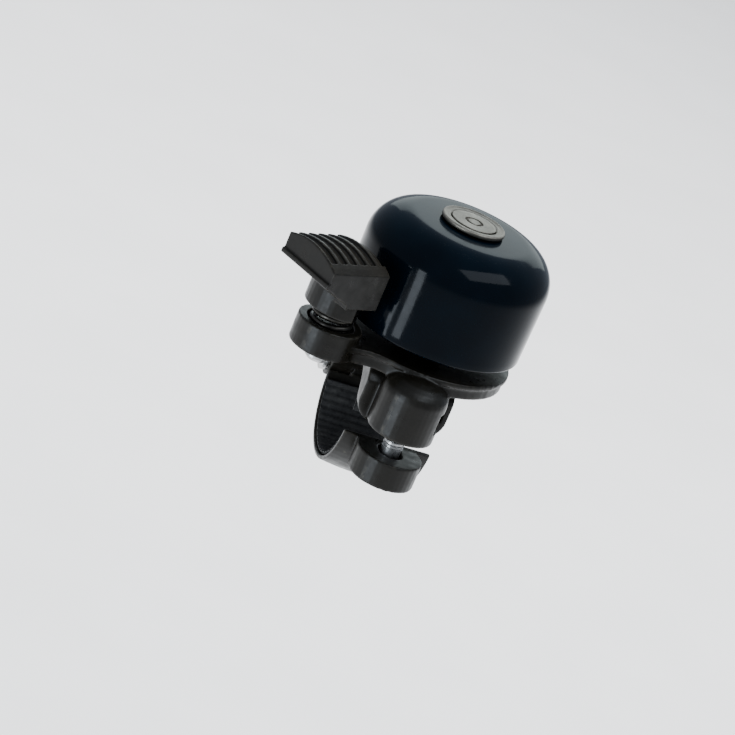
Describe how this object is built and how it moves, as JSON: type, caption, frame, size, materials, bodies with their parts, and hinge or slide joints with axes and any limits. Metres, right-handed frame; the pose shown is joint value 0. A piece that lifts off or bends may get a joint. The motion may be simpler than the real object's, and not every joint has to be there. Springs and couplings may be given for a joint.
{
  "type": "bicycle bell",
  "caption": "Small domed bicycle bell with a sprung thumb striker, on a bracket that clamps round a handlebar with a hinged jaw and a screw.",
  "frame": {"origin": "centre of the handlebar bore, midway across the clamp", "axes": "+X along the handlebar, -Y towards the clamp screw, +Z along the dome's axis"},
  "size_m": [0.0534, 0.0417, 0.0546],
  "materials": {
    "dome_enamel": "high gloss blue-black enamel",
    "black_plastic": "satin moulded, fine grain",
    "satin_steel": "turned, satin nickel",
    "zinc_steel": "bright zinc plated",
    "dark_spring_steel": "oiled black oxide",
    "turned_brass": "machined",
    "natural_nylon": "natural nylon",
    "liner_rubber": "matte"
  },
  "bodies": {
    "bracket_body": {"bracket": "black_plastic", "upper_liner": "liner_rubber", "hinge_pin": "zinc_steel", "hinge_pin_clip": "dark_spring_steel", "clamp_nut": "zinc_steel", "dome": "dome_enamel", "crown_washer": "satin_steel", "dome_screw": "satin_steel", "dome_bush": "natural_nylon", "pillar_insert": "turned_brass", "striker_spring": "dark_spring_steel", "spring_anchor": "zinc_steel", "anchor_washer": "zinc_steel", "anchor_screw": "zinc_steel"},
    "striker_body": {"striker_lever": "black_plastic", "striker_hammer": "zinc_steel"},
    "jaw_body": {"clamp_jaw": "black_plastic", "lower_liner": "liner_rubber"},
    "washer_body": {"clamp_washer": "zinc_steel"},
    "screw_body": {"clamp_screw": "zinc_steel"}
  },
  "joints": [
    {"name": "striker_tilt", "type": "hinge", "parent": "bracket_body", "child": "striker_body", "pos_m": [-0.0188, -0.0106, 0.0192], "axis": [0.515, -0.8572, 0], "range_deg": [-7, 22], "stiffness_Nm_per_rad": 0.03, "deforming": ["striker_spring"]},
    {"name": "clamp_screw_travel", "type": "slide", "parent": "bracket_body", "child": "washer_body", "axis": [0, 0, -1], "range_m": [0, 0.0028]},
    {"name": "clamp_screw_turn", "type": "hinge", "parent": "washer_body", "child": "screw_body", "pos_m": [0, -0.016, 0], "axis": [0, 0, -1], "range_deg": [0, 1440]},
    {"name": "jaw_swing", "type": "hinge", "parent": "bracket_body", "child": "jaw_body", "pos_m": [0, 0.0156, 0], "axis": [1, 0, 0], "range_deg": [0, 4.52]}
  ],
  "couplings": [
    {"joint": "clamp_screw_travel", "follows": "clamp_screw_turn", "m_per_rad": 0.00011141},
    {"joint": "jaw_swing", "follows": "clamp_screw_turn", "ratio": 0.0031383}
  ]
}
